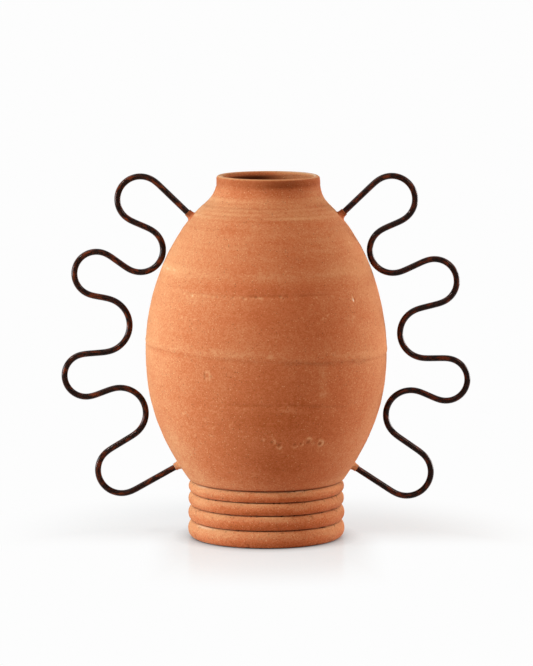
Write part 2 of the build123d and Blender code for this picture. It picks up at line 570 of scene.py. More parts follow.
@dataclass(frozen=True)
class Outline:
    """Half section of the thrown wall as (radius, height)."""

    base_radius: float = 79.4
    base_height: float = 59.0
    base_slope: float = 55.6
    base_pull: float = 44.8
    belly_radius: float = 125.0
    belly_height: float = 196.0
    belly_pull_down: float = 61.4
    belly_pull_up: float = 42.5
    neck_radius: float = 63.85
    neck_height: float = 347.9
    neck_slope: float = 42.1
    shoulder_pull: float = 60.0
    cove_radius: float = 34.3
    cove_end_slope: float = 72.0
    cove_points: int = 80
    lip_round: float = 3.4
    lip_top: float = 376.0
    lip_points: int = 90
    mouth_radius: float = 46.1
    wall: float = 8.0
    floor_thickness: float = 10.0
    floor_radius: float = 76.5
    inner_pull: float = 0.94
    inner_cove_radius: float = 20.0
    inner_cove_end_slope: float = 90.0
    bore_foot: float = 362.0

    @property
    def floor_height(self) -> float:
        """Height of the floor inside."""
        return self.base_height + self.floor_thickness

    def wall_line(self, base: np.ndarray, belly: np.ndarray, neck: np.ndarray, pull: float) -> np.ndarray:
        """Curve of one face of the wall.

        Args:
            base: its foot
            belly: its widest point
            neck: its top, at the foot of the neck
            pull: length of the curve's handles as a share of the outer face's
        Returns:
            points from the base over the belly to the neck
        """
        up = np.array((0.0, 1.0))
        shoulder = slope_step(180 - self.neck_slope) * self.shoulder_pull * pull
        low_pull = base + slope_step(self.base_slope) * self.base_pull * pull
        low = bezier(base, low_pull, belly - up * self.belly_pull_down * pull, belly)
        high = bezier(belly, belly + up * self.belly_pull_up * pull, neck - shoulder, neck)
        return np.concatenate([low, high[1:]])

    def cove(self, centre: np.ndarray, radius: float, end_slope: float) -> np.ndarray:
        """Hollow curve of the neck, from its foot up."""
        slopes = np.radians(np.linspace(self.neck_slope, end_slope, self.cove_points))
        return centre - radius * np.stack([np.sin(slopes), np.cos(slopes)], -1)

    def outside(self) -> np.ndarray:
        """Outer line of the wall.

        Returns:
            points from the edge of the base to the outside of the lip
        """
        base = np.array((self.base_radius, self.base_height))
        belly = np.array((self.belly_radius, self.belly_height))
        neck = np.array((self.neck_radius, self.neck_height))
        slope = math.radians(self.neck_slope)
        centre = neck + self.cove_radius * np.array((math.sin(slope), math.cos(slope)))
        cove = self.cove(centre, self.cove_radius, self.cove_end_slope)
        return np.concatenate([self.wall_line(base, belly, neck, 1.0), cove[1:], self.lip()[:1]])

    def lip(self) -> np.ndarray:
        """Full round over the lip.

        Returns:
            points from outside to inside
        """
        turn = np.linspace(0, math.pi, self.lip_points)
        middle = np.array((self.mouth_radius + self.lip_round, self.lip_top - self.lip_round))
        return middle + self.lip_round * np.stack([np.cos(turn), np.sin(turn)], -1)

    def inside(self) -> np.ndarray:
        """Inner line of the wall.

        Returns:
            points from the edge of the floor up to the inside of the lip
        """
        floor = np.array((self.floor_radius, self.floor_height))
        belly = np.array((self.belly_radius - self.wall, self.belly_height))
        centre = np.array((self.mouth_radius + self.inner_cove_radius, self.bore_foot))
        cove = self.cove(centre, self.inner_cove_radius, self.inner_cove_end_slope)
        wall = self.wall_line(floor, belly, cove[0], self.inner_pull)
        return np.concatenate([wall, cove[1:], self.lip()[-1:]])


class Run:
    """A line of (radius, height) points, measured along its length."""

    def __init__(self, points: np.ndarray) -> None:
        """Measures the line.

        Args:
            points: its points in order
        """
        self.points = points
        steps = np.linalg.norm(np.diff(points, axis=0), axis=1)
        self.lengths = np.concatenate([[0], np.cumsum(steps)])
        slopes = np.gradient(points, self.lengths, axis=0)
        slopes /= np.linalg.norm(slopes, axis=1)[:, None]
        self.normals = np.stack([slopes[:, 1], -slopes[:, 0]], -1)

    def at(self, distance: np.ndarray) -> tuple[np.ndarray, np.ndarray]:
        """Places on the line.

        Args:
            distance: how far along it
        Returns:
            points and outward normals, with a last axis of two
        """
        point, normal = (
            np.stack([np.interp(distance, self.lengths, values[:, k]) for k in (0, 1)], -1)
            for values in (self.points, self.normals)
        )
        return point, normal

    def where(self, height: Length) -> np.ndarray:
        """Distance along the line, rising or falling, at which it has a height."""
        order = 1 if self.points[0, 1] < self.points[-1, 1] else -1
        return np.interp(height, self.points[::order, 1], self.lengths[::order])


@dataclass
class Skin:
    """A stretch of wall: its rise in millimetres, and its paleness and darkness, painted light and shade
    among them.
    """

    azimuth: np.ndarray
    height: np.ndarray
    radius: np.ndarray

    def __post_init__(self) -> None:
        """Starts with bare wall."""
        self.place = ring_places(self.azimuth, self.radius, self.height)
        self.rise, self.bloom_and_light, self.soil_and_shade = (np.zeros(self.height.shape) for _ in range(3))

    def aside(self, azimuth: float) -> np.ndarray:
        """Millimetres round the wall from an azimuth."""
        return np.radians(turn_from(self.azimuth, azimuth)) * self.radius

    def add(self, strength: np.ndarray, rise: float = 0.0, bloom_and_light: float = 0.0, soil_and_shade: float = 0.0) -> None:
        """Lays a mark on the wall.

        Args:
            strength: how much of the mark each point takes
            rise: how far the whole mark rises
            bloom_and_light: how far it pales, for real paleness and for painted light
            soil_and_shade: how far it darkens, for dirt and for painted shade
        """
        self.rise += rise * strength
        self.bloom_and_light += bloom_and_light * strength
        self.soil_and_shade += soil_and_shade * strength


@dataclass(frozen=True)
class Mark:
    """A blemish or a painted patch of light or shade: half-sizes in millimetres, how far it rises, pales and
    darkens.
    """

    azimuth: float
    height: float
    across: float
    tall: float
    rise: float = 0.0
    bloom_and_light: float = 0.0
    soil_and_shade: float = 0.0
    lean: float = 0.0
    flatness: float = 1.5

    def lay(self, skin: Skin, ragged: np.ndarray) -> None:
        """Lays the blemish on the wall.

        Args:
            skin: the stretch of wall
            ragged: what breaks it up
        """
        aside, above, tilt = skin.aside(self.azimuth), skin.height - self.height, math.radians(self.lean)
        across = (aside * math.cos(tilt) + above * math.sin(tilt)) / self.across
        tall = (above * math.cos(tilt) - aside * math.sin(tilt)) / self.tall
        strength = np.exp(-((across**2 + tall**2) ** self.flatness)) * ragged
        skin.add(strength, self.rise, self.bloom_and_light, self.soil_and_shade)


@dataclass(frozen=True)
class Score:
    """A scratch or ridge that runs round part of the wall and fades at its ends."""

    start: float
    end: float
    start_height: float
    end_height: float
    width: float
    rise: float
    bloom_and_light: float = 0.0
    soil_and_shade: float = 0.0
    fade: float = 0.15

    def lay(self, skin: Skin, ragged: np.ndarray) -> None:
        """Lays the line on the wall.

        Args:
            skin: the stretch of wall
            ragged: what breaks it up
        """
        share = (skin.azimuth - self.start) / (self.end - self.start)
        line = self.start_height + share * (self.end_height - self.start_height)
        fade = smooth_step(0.0, self.fade, share) * (1 - smooth_step(1 - self.fade, 1.0, share))
        strength = bell(skin.height - line, self.width) * fade * ragged
        skin.add(strength, self.rise, self.bloom_and_light, self.soil_and_shade)


@dataclass(frozen=True)
class Pock:
    """A popped lime grain: a pale rim, painted thickest on its lit side, round a hollow painted dark as
    shade.
    """

    azimuth: float
    height: float
    radius: float
    thick_side: float
    rim: float = 0.5
    hollow: float = 0.35
    openness: float = 0.95
    tallness: float = 1.0
    rim_width: float = 1.1
    rim_rise: float = 0.16
    rim_bloom: float = 1.5
    hollow_share: float = 0.42
    hollow_rise: float = -0.28
    hollow_bloom: float = -0.1
    hollow_shade: float = 1.1

    def lay(self, skin: Skin, ragged: np.ndarray) -> None:
        """Lays the pock on the wall.

        Args:
            skin: the stretch of wall
            ragged: what breaks up its rim
        """
        aside, above = skin.aside(self.azimuth), skin.height - self.height
        away = np.hypot(aside, above / self.tallness) * (0.85 + 0.20 * ragged)
        facing = np.cos(np.arctan2(above, aside) - math.radians(self.thick_side))
        lit = 1 - self.openness * (1 - (0.5 + 0.5 * facing) ** 2)
        edge = bell(away - self.radius, self.rim_width) * lit * (0.5 + 0.5 * ragged)
        inner = bell(away + 0.5 * self.radius * facing, self.hollow_share * self.radius)
        skin.add(edge, self.rim_rise, self.rim_bloom * self.rim)
        skin.add(inner, self.hollow_rise, self.hollow_bloom, self.hollow_shade * self.hollow)


@dataclass
class ThrownSkin:
    """What wheel, hands and kiln left on the wall, and the light and shade painted on it.

    A span is where something starts and where it is full, or a side and its half-width. The rises and
    blooms that come in pairs are for the whole wall and what its upper part has on top.
    """

    outline: Outline
    high: Span = (270.0, 340.0)
    lump_rise: float = 0.45
    line_rise: float = 0.05
    ring_rises: Span = (0.12, 0.10)
    patch_bloom: float = 0.06
    streak_blooms: Span = (0.035, 0.06)
    waver: float = 0.6
    ring_width: float = 1.1
    pale_side_loss: float = 0.45
    seam_height: float = 198.9
    seam_tilt: float = -0.042
    seam_waver: float = 0.5
    belly_flat: Span = (0.42, 28.0)
    lip_foot: float = 366.4
    lip_top: Span = (374.2, 375.4)
    lip_radii: Span = (47.5, 51.0)
    lip_face_shade: Span = (18.0, 30.0)
    lip_left: Span = (-84.0, 52.0)
    throat_radii: Span = (49.4, 47.6)
    throat_heights: Span = (360.0, 372.0)
    mouth_light_right: Span = (60.0, 90.0)
    mouth_light_back: Span = (196.0, 142.0)
    inner_shade_heights: Span = (372.7, 370.0)
    slump: float = 2.4
    slumped: Span = (338.0, 374.0)
    inner_rise: float = 0.25

    # Heights up the wall with how pale it is there; the lip's face is painted deeper as shade, its crest
    # paler as a highlight
    PALENESS = (
        (62, 0.04), (76, -0.10), (130, -0.11), (165, -0.07), (192, -0.01), (240, 0.01), (275, 0.07),
        (310, 0.13), (336, 0.22), (347, 0.34), (354, 0.24), (360, 0.10), (373, -0.06), (374.6, 0.10),
        (375.6, 0.6),
    )
    # Grooves of the throwing: height and depth
    RINGS = (
        (357.5, 0.12), (351.5, 0.10), (347.2, 0.26), (343.9, 0.14), (339.6, 0.12), (335, 0.10),
        (327, 0.08),
    )
    # Pale and dark bands: height, half-width and paleness
    BANDS = (
        (354, 2.2, 0.14), (345.2, 1.2, 0.10), (341.4, 1.4, 0.14), (337.4, 1.6, 0.20), (329, 5, -0.04),
        (309.5, 1, 0.05), (306, 2.2, -0.04), (283.4, 4.4, 0.15), (271, 5.2, -0.08), (66, 3, 0.06),
    )
    # Paler sides: azimuth, half-width and paleness; at the left and right they paint the side lamps' light
    PALE_SIDES = (
        (-80, 42, 0.38), (76, 34, 0.36), (170, 50, 0.10),
    )
    # Azimuths of the flakes along the upper scratch
    FLAKES = (
        -46.9, -40.6, -33.4, -31.6, -27.7, -25.2, -21, -16.5, -13.3, -10.6, -6.9, -4, -2.4, 2.8, 7.6, 15,
        26, 35.8,
    )
    # Azimuth, height, half-width, half-height, rise, bloom, soil and lean; the last four are on the back
    # The broad deeper marks near the front paint shade, and the broad paler ones at the sides paint light
    MARKS = tuple(Mark(*row) for row in (
        (49.2, 257.2, 0.9, 3.6, -0.35, 1.5, 0, 12), (-45.2, 238.8, 1.5, 1.1, -0.2, 0.9),
        (-37.3, 238.6, 1.7, 0.8, -0.15, 0.5), (41, 258.5, 1.5, 0.9, -0.1, 0.5),
        (35, 262, 1.5, 0.9, -0.1, 0.45), (56, 260, 2.2, 0.8, 0, 0.3),
        (31.4, 243.8, 1.8, 0.9, 0.1, 0.9, 0, 30), (28.4, 240.5, 0.8, 2.2, 0.1, 0.75, 0, -20),
        (26.6, 236.4, 2.8, 0.8, 0.1, 0.6, 0, 25), (47, 239, 3.4, 1.8, 0, 0.32, 0, 20),
        (51, 230, 3, 1.4, 0, 0.28, 0, 35), (40, 236, 16, 10, 0, 0.08), (2, 204, 4, 2.6, 0.2, 0.36),
        (11, 148.6, 12, 2.6, 0.15, 0.34), (18, 145.6, 8, 1.8, 0.1, 0.16), (-29.5, 119.6, 5, 0.9, 0, 0.32),
        (-31, 137, 4.5, 1.6, 0, 0.20), (-17, 135, 1.6, 2.6, 0.1, 0.16), (-15, 140, 2, 1, 0.1, 0.20),
        (25.6, 140.6, 1.8, 1, 0, 0.45), (-44, 146, 20, 6, 0, 0.06), (28, 188.5, 6, 5, 0, 0.42),
        (28, 173, 5, 13, 0, 0.20), (27.6, 163.5, 6, 3.6, 0, 0.22), (-37, 258.6, 18, 4.6, 0, 0.16),
        (-24, 207, 26, 4.6, 0.1, 0.10), (43, 202, 16, 2.8, 0.1, 0.18), (38, 337.4, 40, 1.8, 0, 0.14),
        (-6, 329.5, 13, 4, 0.05, 0.10), (38, 331, 24, 2, 0, -0.14), (32, 310, 16, 1.4, 0, -0.10),
        (32, 306.4, 28, 1, 0, 0.16), (18, 297, 17, 6.8, 0, -0.13, 0.03), (42, 284, 28, 3.6, 0, 0.10),
        (48, 293, 20, 5, 0, 0.06), (66, 315, 11, 16, 0, 0.10), (66, 130, 14, 32, 0, 0.12),
        (14, 271, 38, 6, 0, -0.08, 0.03), (20, 240, 22, 24, 0, -0.09, 0.02),
        (14, 176, 16, 20, 0, -0.08, 0.03), (13, 131, 24, 11, 0, -0.06, 0.02),
        (10, 85, 26, 17, 0, -0.18, 0.03), (-30.1, 183.4, 1, 4.2, -0.1, -0.15, 0.34),
        (-26.7, 182.4, 1, 1, -0.2, 0, 0.45), (-27.4, 178.4, 1, 2.2, 0.1, 0.30, 0, -30),
        (-10, 250, 26, 12, 0, -0.09), (28, 108, 18, 9, 0, 0.08), (54, 346, 16, 5, 0, -0.18),
        (58, 360, 18, 5, 0, 0.12), (-58, 90, 26, 34, 0, 0.24), (54, 100, 30, 34, 0, 0.12),
        (-90, 146, 9, 20, 0, 0.40), (90, 146, 9, 24, 0, 0.34), (80, 288, 12, 16, 0, 0.14),
        (20, 140, 44, 24, 0, -0.15), (0, 178, 30, 14, 0, -0.08), (50, 284, 40, 20, 0, 0.07),
        (36, 212, 16, 16, 0, 0.07), (-40, 346, 30, 6, 0, 0.08), (0, 140, 36, 20, 0, -0.07),
        (54, 130, 10, 12, 0, -0.12), (150, 285, 40, 8, 0, 0.14), (-140, 176, 30, 12, 0, 0.12),
        (120, 208, 40, 4, 0.1, 0.16), (-110, 118, 16, 3, 0.1, 0.24),
    ))
    # First and last azimuth, first and last height, width, rise, bloom and soil
    SCORES = tuple(Score(*row) for row in (
        (-54, 34, 265.4, 263.9, 0.9, -0.30, -0.06, 0.05), (-14, 38, 264.7, 263.9, 1.7, -0.2, -0.14, 0.10),
        (-48, 12, 262.6, 261.4, 1.8, 0.14, 0.08), (-22, 26, 154.8, 153.4, 1.3, -0.25, -0.12, 0.12),
        (14, 46, 153.6, 148, 1.3, -0.15, 0, 0.14), (-100, -34, 203.2, 201, 2.4, -0.15, -0.14, 0.02),
        (4, 60, 197.4, 193, 2.6, -0.2, 0, 0.16), (-160, -70, 231, 228.5, 1, -0.22, 0, 0.20),
        (95, 172, 262, 265, 0.9, -0.25, 0, 0.24), (70, 165, 152, 149, 1.1, -0.2, 0, 0.2),
    ))
    # Azimuth, height, radius, thick side, strength of the rim and of the hollow, openness and tallness
    POCKS = tuple(Pock(*row) for row in (
        (-28.6, 183.2, 2.9, 20, 0.36, 0, 0.5, 1.35), (-2, 117.2, 1.5, 30), (3.2, 115.6, 2.6, 10, 0.6),
        (6.8, 111.2, 2.8, -70, 0.65), (15.2, 111.4, 2.6, -80, 0.55), (18.8, 112.4, 1.9, -30, 0.5),
        (22.8, 115.4, 3.2, 75, 0.7), (26.4, 112.8, 1.4, 200, 0.4), (30.2, 112, 3, 40, 0.6, 0.4, 0.4),
        (-128, 96, 3.2, 80), (-122, 94.5, 2.4, -60), (162, 132, 4, 30, 0.35, 0.25, 0.4),
    ))
    # Lime specks: azimuths, heights, how many, sizes, and half-width and half-height as shares of the size
    SPECKS = (
        ((-62, -8), (126, 153), 90, (0.7, 1.5), (1.2, 0.8)),
        ((-180, 180), (70, 345), 420, (0.7, 1.2), (1.0, 1.0)),
    )
    # Above the seam and half-width: a ridge, the slip smeared over it and the groove below, darkened
    # partly as dirt and partly as painted shade under the ridge
    SEAM_RIDGE, SEAM_SMEAR, SEAM_GROOVE = (3.2, 3.2), (5.6, 5.4), (-0.6, 1.3)
    # Above the foot of the lip: where it starts and is full
    LIP_STARTS = (-1.0, 3.0)
    # Above the foot of the lip and half-width: the groove under it and the shade round that, both painted
    # dark
    LIP_GROOVE, LIP_SHADE = (-0.4, 1.4), (-2.0, 5.5)
    # Above the base: where the wall is drawn in, gets back its unevenness and comes clear of the
    # darkening in the join, part dirt and part painted shade
    BASE_DRAWN, BASE_UNEVEN, BASE_SOILED = (0.0, 3.0), (0.0, 4.0), (0.2, 1.8)
    # Flakes: those on the back, the scratch that they follow, and what is drawn for each, with a dark
    # mark beside each flake that paints its shadow
    BACK_FLAKES = (95, 172, 8)
    SCRATCH_HEIGHT, SCRATCH_FALL, SCRATCH_START = 263.6, 0.017, 54
    FLAKE_SIZES, FLAKE_LEANS, FLAKE_BLOOMS = (0.9, 2.3), (-17.5, 15.0), (0.325, 0.845)
    FLAKE_HOLLOWS, FLAKE_DROP = (0.0, 0.15, 0.35, 0.5), (-0.6, 0.8)
    SPECK_BLOOMS = (0.10, 0.40)

    def __post_init__(self) -> None:
        """Seeds the unevenness and scatters the chips."""
        self.lumps, self.wavers = HandNoise(11, (70.0, 70.0, 48.0)), HandNoise(11, (60.0, 60.0, 60.0))
        self.rings, self.inner_rings = HandNoise(12, (95.0, 95.0, 4.6)), HandNoise(12, (80.0, 80.0, 6.0))
        self.streaks, self.lines = HandNoise(12, (46.0, 46.0, 2.6), 400.0), HandNoise(13, (60.0, 60.0, 1.7))
        self.patches, self.grains = HandNoise(14, (34.0, 34.0, 15.0)), HandNoise(15, (2.8, 2.8, 2.0), 50.0)
        self.seam_drift, self.breaks = HandNoise(15, (18.0, 18.0, 18.0)), HandNoise(15, (4.0, 4.0, 3.0))
        draw = np.random.default_rng(7)
        self.chips = []
        for azimuth in (*self.FLAKES, *draw.uniform(*self.BACK_FLAKES)):
            line = self.SCRATCH_HEIGHT - self.SCRATCH_FALL * (azimuth + self.SCRATCH_START)
            size, lean = draw.uniform(*self.FLAKE_SIZES), draw.uniform(*self.FLAKE_LEANS)
            bloom_and_light, hollow = draw.uniform(*self.FLAKE_BLOOMS), draw.choice(self.FLAKE_HOLLOWS)
            line += draw.normal(*self.FLAKE_DROP)
            wide, narrow = 0.8 + 0.6 * size, 0.8 + 0.3 * size
            self.chips.append(Mark(azimuth, line, wide, narrow, rise=0.1, bloom_and_light=bloom_and_light, lean=lean))
            # A dark hollow beside each flake, its darkness a painted shadow
            self.chips.append(Mark(azimuth - 0.5 * size, line + 0.9, narrow, 1.2, rise=-0.25, soil_and_shade=hollow))
        for azimuths, heights, count, sizes, (across, tall) in self.SPECKS:
            for azimuth, height in zip(draw.uniform(*azimuths, count), draw.uniform(*heights, count)):
                size = draw.uniform(*sizes)
                bloom_and_light = draw.uniform(*self.SPECK_BLOOMS)
                self.chips.append(Mark(azimuth, height, across * size, tall * size, rise=0.1, bloom_and_light=bloom_and_light))

    def seam(self, x: np.ndarray) -> np.ndarray:
        """Height of the belly seam, which tilts a little to the right."""
        return self.seam_height + self.seam_tilt * x

    def mouth_light(self, azimuth: np.ndarray) -> np.ndarray:
        """How much painted light the inside of the mouth has, which is at its right."""
        return smooth_step(*self.mouth_light_back, azimuth % 360) * smooth_step(*self.mouth_light_right, azimuth % 360)

    def lean(self, height: np.ndarray) -> np.ndarray:
        """How far the neck has slumped to the right."""
        return self.slump * smooth_step(*self.slumped, height)

    def leftness(self, azimuth: np.ndarray) -> np.ndarray:
        """How near the left of the lip is, where it was rolled wider."""
        side, half = self.lip_left
        return bell(turn_from(azimuth, side), half)

    def lay_throwing(self, skin: Skin) -> None:
        """Lays on the lumps, lines, rings and bands that throwing and firing left.

        Args:
            skin: the stretch of wall
        """
        place, high = skin.place, smooth_step(*self.high, skin.height)
        patches, waver = self.patches.at(place), self.waver * self.wavers.at(place)
        (low_rise, more_rise), (low_bloom, more_bloom) = self.ring_rises, self.streak_blooms
        skin.rise += self.lump_rise * self.lumps.at(place) + self.line_rise * self.lines.at(place)
        skin.rise += (low_rise + more_rise * high) * self.rings.at(place)
        skin.bloom_and_light += np.interp(skin.height, *zip(*self.PALENESS)) + self.patch_bloom * patches
        skin.bloom_and_light += (low_bloom + more_bloom * high) * self.streaks.at(place)
        for side, half, share in self.PALE_SIDES:
            skin.bloom_and_light += share * bell(turn_from(skin.azimuth, side), half) * (1 - self.pale_side_loss * high)
        for ring, depth in self.RINGS:
            groove = bell(skin.height - ring - waver, self.ring_width)
            skin.add(groove, rise=-depth, bloom_and_light=-0.5 * depth, soil_and_shade=0.2 * depth)
        broken = (1 + 0.6 * patches) * self.grainy(skin)
        for band, half, share in self.BANDS:
            skin.add(bell(skin.height - band - 2 * waver, half) * broken, bloom_and_light=share)

    def grainy(self, skin: Skin) -> np.ndarray:
        """What breaks a smear of slip into grains."""
        return 1 + 0.9 * self.grains.at(skin.place)

    def lay_seam(self, skin: Skin) -> None:
        """Lays on the belly seam: the flat front, the ridge, the smeared slip and the groove.

        Args:
            skin: the stretch of wall
        """
        drift = self.seam_waver * self.seam_drift.at(skin.place)
        above = skin.height - self.seam(skin.place[..., 0]) - drift
        depth, half = self.belly_flat
        skin.rise -= depth * bell(above, half) * np.cos(np.radians(skin.azimuth)) ** 2
        patchy = 0.9 + 0.5 * self.patches.at(skin.place)
        for (middle, half), strength, marks in (
            (self.SEAM_RIDGE, 1.0, {"rise": 0.36}),
            (self.SEAM_SMEAR, patchy * self.grainy(skin), {"bloom_and_light": 0.15}),
            (self.SEAM_GROOVE, patchy, {"rise": -0.38, "bloom_and_light": -0.06, "soil_and_shade": 0.07}),
        ):
            skin.add(bell(above - middle, half) * strength, **marks)

    def lay_lip(self, skin: Skin) -> None:
        """Lays on painted light and shade in the throat and on the lip's face, and the groove and shade under
        it.

        Args:
            skin: the stretch of wall
        """
        over, mouth_light = skin.height - self.lip_foot, self.mouth_light(skin.azimuth)
        throat = smooth_step(*self.throat_radii, skin.radius) * smooth_step(*self.throat_heights, skin.height)
        # The throat is painted paler where the mouth is lit and darker as shade elsewhere
        skin.add(throat * mouth_light, bloom_and_light=0.38)
        skin.add(throat * (1 - mouth_light), soil_and_shade=0.10)
        lip = smooth_step(*self.LIP_STARTS, over) * (1 - smooth_step(*self.lip_top, skin.height))
        lip *= smooth_step(*self.lip_radii, skin.radius)
        # The lip's face is painted dark as shade, most to the right
        side, half = self.lip_face_shade
        shaded_face = lip * (0.5 + 0.5 * bell(skin.azimuth - side, half))
        skin.add(shaded_face, rise=-0.1, bloom_and_light=-0.24, soil_and_shade=0.46)
        middle, half = self.LIP_GROOVE
        groove = bell(over - middle, half) * (1 + 0.8 * self.leftness(skin.azimuth))
        skin.add(groove, rise=-0.3, soil_and_shade=0.06)
        middle, half = self.LIP_SHADE
        rightward = np.sin(np.radians(skin.azimuth))
        skin.add(bell(over - middle, half) * (0.85 + 0.3 * rightward), bloom_and_light=-0.10, soil_and_shade=0.14)

    def lay_base(self, skin: Skin) -> None:
        """Draws the wall in where it meets the foot, darkened in the join, part dirt and part painted shade.

        Args:
            skin: the stretch of wall
        """
        up = skin.height - self.outline.base_height
        skin.rise *= smooth_step(*self.BASE_UNEVEN, up)
        skin.add(1 - smooth_step(*self.BASE_DRAWN, up), rise=-0.9, bloom_and_light=-0.1)
        skin.add(1 - smooth_step(*self.BASE_SOILED, up), soil_and_shade=0.40)

    def outer_notes(self, skin: Skin) -> dict[str, np.ndarray]:
        """Marks a stretch of the outside.

        Args:
            skin: the bare stretch of wall
        Returns:
            arrays named rise, in millimetres, bloom_and_light and soil_and_shade
        """
        self.lay_throwing(skin)
        self.lay_seam(skin)
        self.lay_lip(skin)
        ragged = 0.75 + 0.6 * self.breaks.at(skin.place)
        for mark in (*self.MARKS, *self.SCORES, *self.POCKS, *self.chips):
            mark.lay(skin, ragged)
        self.lay_base(skin)
        return {"rise": skin.rise, "bloom_and_light": np.clip(skin.bloom_and_light, -0.4, 1.4), "soil_and_shade": np.clip(skin.soil_and_shade, 0, 1)}

    def inner_notes(self, skin: Skin) -> dict[str, np.ndarray]:
        """Marks a stretch of the inside, painted dark as shade below the rim but paler as light at the
        mouth's right.

        Args:
            skin: the bare stretch of wall
        Returns:
            arrays named rise, in millimetres, bloom_and_light and soil_and_shade
        """
        mouth_light = self.mouth_light(skin.azimuth)
        inner_shade = 0.3 + 0.7 * smooth_step(*self.inner_shade_heights, skin.height)
        rise = self.inner_rise * self.inner_rings.at(skin.place)
        return {"rise": rise, "bloom_and_light": 0.35 * mouth_light, "soil_and_shade": inner_shade * (1 - mouth_light)}


@dataclass
class JarBody:
    """Bowl, dome and neck: the three thrown sections of the pot."""

    outline: Outline = Outline()
    columns: int = 540
    front_columns: int = 340
    front_half: float = 78.0
    wall_step: float = 1.1
    neck_step: float = 0.8
    lip_step: float = 0.5
    inside_step: float = 8.0
    lip_gaps: Span = (0.2, 0.4)
    disc_radii: tuple[float, ...] = (6.0, 30.0, 60.0)
    rim_tilt: float = 0.9
    tilt_foot: float = 350.0
    lip_roll: float = 1.0
    roll_heights: Span = (368.0, 374.0)
    roll_radii: Span = (47.5, 51.0)
    seam_rounds: int = 4

    def __post_init__(self) -> None:
        """Measures the lines of the wall and spaces the columns, closest at the front."""
        self.skin = ThrownSkin(self.outline)
        self.outside = Run(self.outline.outside())
        self.lip = Run(self.outline.lip())
        self.inside = Run(self.outline.inside()[::-1])
        front = np.linspace(-self.front_half, self.front_half, self.front_columns, endpoint=False)
        back_columns = self.columns - self.front_columns
        back = np.linspace(self.front_half, 360 - self.front_half, back_columns, endpoint=False)
        self.azimuth = np.concatenate([front, back])

    def turned(self, run: Run, start: Length, end: Length, step: float) -> Sheet:
        """Turns a stretch of a line about the jar's axis.

        Args:
            run: the line
            start: distance along it where the stretch starts, for each column or for all
            end: where it ends
            step: size of a row
        Returns:
            the stretch of wall, marked
        """
        start, end = np.broadcast_to(start, self.columns), np.broadcast_to(end, self.columns)
        rows = max(2, round(float(np.mean(np.abs(end - start))) / step) + 1)
        share = np.linspace(0, 1, rows)[:, None]
        point, normal = run.at(start + share * (end - start))
        skin = Skin(np.broadcast_to(self.azimuth, (rows, self.columns)), point[..., 1], point[..., 0])
        notes = self.skin.inner_notes(skin) if run is self.inside else self.skin.outer_notes(skin)
        risen = point + notes.pop("rise")[..., None] * normal
        return Sheet(self.placed(risen[..., 0], risen[..., 1]), notes)

    def placed(self, radius: np.ndarray, height: np.ndarray) -> np.ndarray:
        """Places points on the slumped pot.

        Args:
            radius: distance from the axis, one column for each azimuth
            height: height from the ground
        Returns:
            places with the neck leaning, its rim tilted and its lip rolled wider at the left
        """
        lean = self.skin.lean(height)
        rolled = smooth_step(*self.roll_heights, height) * smooth_step(*self.roll_radii, radius)
        radius = radius + self.lip_roll * rolled * self.skin.leftness(self.azimuth)
        backward = (1 - np.cos(np.radians(self.azimuth))) / 2
        height = height + self.rim_tilt * smooth_step(self.tilt_foot, self.outline.lip_top, height) * backward
        places = ring_places(self.azimuth, radius, height)
        places[..., 0] += lean
        return places

    def disc(self, radii: tuple[float, ...], height: float) -> Sheet:
        """Flat rings of the floor or of the underside.

        Args:
            radii: radius of each ring
            height: height of all of them
        Returns:
            the rings, unmarked
        """
        radius = np.array(radii)[:, None] + np.zeros(self.columns)
        still = np.zeros_like(radius)
        return Sheet(self.placed(radius, still + height), {"bloom_and_light": still, "soil_and_shade": still})

    def seam_stop(self, run: Run) -> np.ndarray:
        """Finds the belly seam on a line.

        Args:
            run: the line
        Returns:
            distance along it at which each column meets the seam
        """
        height = np.full(self.columns, self.skin.seam_height)
        for _ in range(self.seam_rounds):
            stop = run.where(height)
            height = self.skin.seam(run.at(stop)[0][:, 0] * np.sin(np.radians(self.azimuth)))
        return stop

    def build(self, clay: Material) -> None:
        """Builds the three sections and dresses them.

        Args:
            clay: finish of the fired clay
        """
        line, wall, inner = self.outline, self.wall_step, self.inside_step
        neck_out, neck_in = (float(run.where(line.neck_height)) for run in (self.outside, self.inside))
        seam_out, seam_in = self.seam_stop(self.outside), self.seam_stop(self.inside)
        gap_out, gap_in = self.lip_gaps
        bowl = self.disc(self.disc_radii, line.base_height).joined(
            self.turned(self.outside, 0.0, seam_out, wall),
            self.turned(self.inside, seam_in, self.inside.lengths[-1], inner),
            self.disc(self.disc_radii[::-1], line.floor_height),
        )
        dome = self.turned(self.outside, seam_out, neck_out, wall).joined(
            self.turned(self.inside, neck_in, seam_in, inner),
        )
        ring = self.turned(self.outside, neck_out, self.outside.lengths[-1] - gap_out, self.neck_step).joined(
            self.turned(self.lip, 0.0, self.lip.lengths[-1], self.lip_step),
            self.turned(self.inside, gap_in, neck_in, self.neck_step),
        )
        for name, sheet, closing, node in (
            ("thrown_bowl", bowl, Closing.POLES, "lower_body"),
            ("thrown_dome", dome, Closing.LOOP, "upper_body"),
            ("neck_ring", ring, Closing.LOOP, "neck"),
        ):
            dress(closed_mesh(name, sheet, closing), clay, node)


